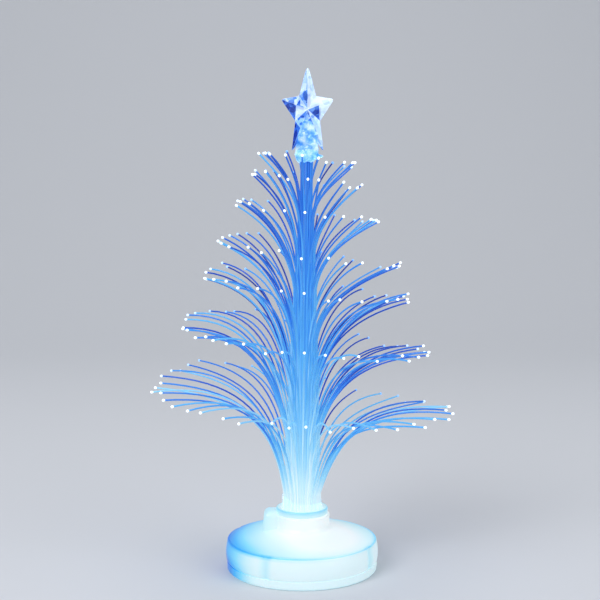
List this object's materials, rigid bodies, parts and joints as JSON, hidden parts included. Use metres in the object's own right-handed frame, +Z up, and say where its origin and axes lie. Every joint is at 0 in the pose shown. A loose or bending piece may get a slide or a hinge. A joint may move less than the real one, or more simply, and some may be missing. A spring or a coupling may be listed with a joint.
{
  "type": "fibre optic table tree",
  "caption": "Small battery-lit table tree: a round base with a lamp inside, a bundle of light fibres that fans out in tiers, and a clear star on top.",
  "frame": {"origin": "centre of the base's underside, on the surface that it stands on", "axes": "+Z up along the bundle of fibres, +X to the right of the picture, and the front faces -Y"},
  "size_m": [0.0715, 0.0736, 0.12],
  "materials": {
    "housing": "translucent white, lit from inside",
    "tray": "translucent white, lit from inside",
    "door": "translucent white",
    "screw_steel": "zinc plated",
    "cell_steel": "nickel plated",
    "contact_nickel": "nickel plated spring strip",
    "lamp_epoxy": "clear epoxy, lit",
    "lead_tin": "tinned",
    "wire_sheath": "smooth sheath",
    "switch_steel": "folded sheet",
    "switch_plastic": "moulded",
    "ferrule": "translucent white, lit",
    "wrap_film": "clear film",
    "fibre_core": "clear fibre, lit",
    "fibre_high": "clear fibre, lit",
    "fibre_middle": "clear fibre, lit",
    "fibre_low": "clear fibre, lit",
    "star_clear": "clear faceted plastic",
    "glue_clear": "clear hot-melt glue"
  },
  "bodies": {
    "base": {"base_shell": "housing", "base_tray": "tray", "base_screw_1": "screw_steel", "base_screw_2": "screw_steel", "button_cell_1": "cell_steel", "button_cell_2": "cell_steel", "button_cell_3": "cell_steel", "contact_negative": "contact_nickel", "contact_positive": "contact_nickel", "series_bridge_top": "contact_nickel", "led_lamp": "lamp_epoxy", "led_lead_anode": "lead_tin", "led_lead_cathode": "lead_tin", "wire_negative": "wire_sheath", "slide_switch_body": "switch_steel", "fibre_ferrule": "ferrule", "bundle_wrap": "wrap_film", "fibre_core": "fibre_core", "fibre_tier_1": "fibre_high", "fibre_tier_2": "fibre_high", "fibre_tier_3": "fibre_high", "fibre_tier_4": "fibre_middle", "fibre_tier_5": "fibre_middle", "fibre_tier_6": "fibre_low", "fibre_tier_7": "fibre_low", "star_topper": "star_clear", "star_glue": "glue_clear"},
    "door": {"battery_door": "door", "series_bridge_bottom": "contact_nickel"},
    "door_screw": {"battery_door_screw": "screw_steel"},
    "switch_knob": {"slide_switch_knob": "switch_plastic"}
  },
  "joints": [
    {"name": "switch_slide", "type": "slide", "parent": "base", "child": "switch_knob", "axis": [0, 1, 0], "range_m": [0, 0.002]},
    {"name": "door_lift_off", "type": "slide", "parent": "base", "child": "door", "axis": [0, 0, -1], "range_m": [0, 0.02]},
    {"name": "door_screw_turn", "type": "hinge", "parent": "door", "child": "door_screw", "pos_m": [0.006, 0, 0.00045], "axis": [0, 0, 1], "continuous": true}
  ]
}
